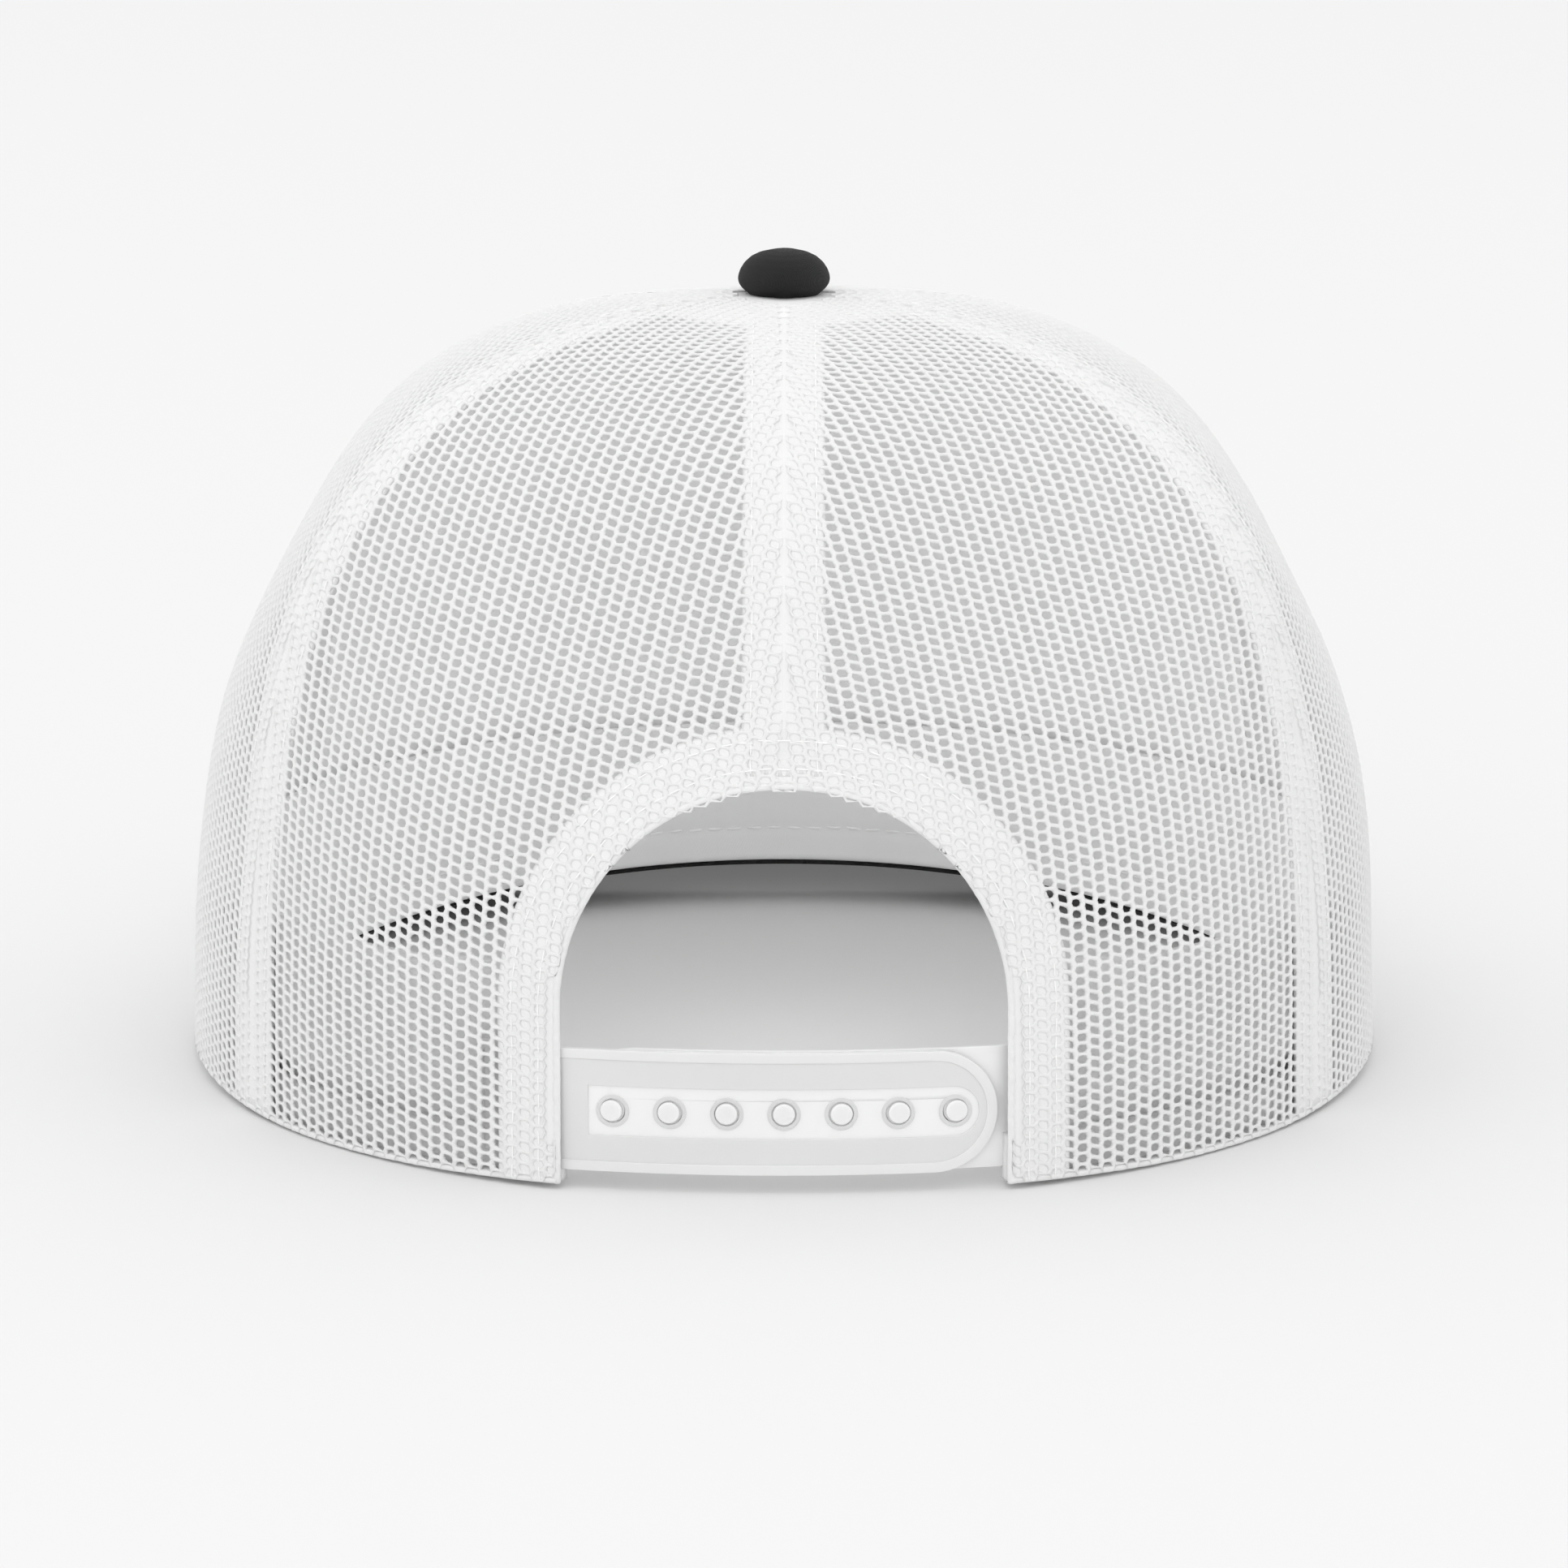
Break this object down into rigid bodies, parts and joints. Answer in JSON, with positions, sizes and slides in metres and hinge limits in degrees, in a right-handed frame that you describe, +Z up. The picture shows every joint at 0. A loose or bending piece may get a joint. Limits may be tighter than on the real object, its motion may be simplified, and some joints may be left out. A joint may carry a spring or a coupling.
{
  "type": "trucker cap",
  "caption": "Six-panel cap with mesh sides and back, a curved visor, a covered top button, an inner sweatband and a snap strap across the arched back opening.",
  "frame": {"origin": "middle of the cap's bounding box seen from above, on the surface it stands on", "axes": "+Z up towards the button, -Y towards the visor's front edge, +X towards the wearer's left"},
  "size_m": [0.182, 0.2576, 0.1203],
  "materials": {
    "mesh_white": "knitted mesh",
    "front_cloth_white": "twill",
    "buckram_white": "stiffened open weave",
    "tape_white": "woven tape",
    "sweatband_white": "twill",
    "visor_cloth_black": "twill",
    "visor_board_plastic": "matte",
    "button_cloth_black": "twill",
    "button_metal": "satin",
    "strap_plastic": "translucent, satin"
  },
  "bodies": {
    "crown": {"front_panel_left": "front_cloth_white", "front_panel_right": "front_cloth_white", "front_buckram_left": "buckram_white", "front_buckram_right": "buckram_white", "side_mesh_left": "mesh_white", "side_mesh_right": "mesh_white", "back_mesh_left": "mesh_white", "back_mesh_right": "mesh_white", "seam_tape_front_center": "tape_white", "seam_tape_front_left": "tape_white", "seam_tape_front_right": "tape_white", "seam_tape_side_left": "tape_white", "seam_tape_side_right": "tape_white", "seam_tape_back_center": "tape_white", "arch_tape": "tape_white", "rim_hem": "tape_white", "sweatband": "sweatband_white", "visor_under_cover": "visor_cloth_black", "visor_board": "visor_board_plastic", "visor_top_cover": "visor_cloth_black", "visor_edge_strip": "visor_cloth_black", "button_cover": "button_cloth_black", "button_shell": "button_metal", "button_rivet": "button_metal", "hole_strap_end": "strap_plastic", "peg_strap_end": "strap_plastic"},
    "hole_strap": {"hole_strap": "strap_plastic"},
    "peg_strap": {"peg_strap": "strap_plastic"}
  },
  "joints": [
    {"name": "hole_strap_fold", "type": "hinge", "parent": "crown", "child": "hole_strap", "pos_m": [0.0308, 0.12448, 0.0103], "axis": [0, 0, -1], "range_deg": [0, 75], "stiffness_Nm_per_rad": 0.002},
    {"name": "peg_strap_fold", "type": "hinge", "parent": "crown", "child": "peg_strap", "pos_m": [-0.0308, 0.12314, 0.0103], "axis": [0, 0, -1], "range_deg": [0, 65], "stiffness_Nm_per_rad": 0.002}
  ]
}
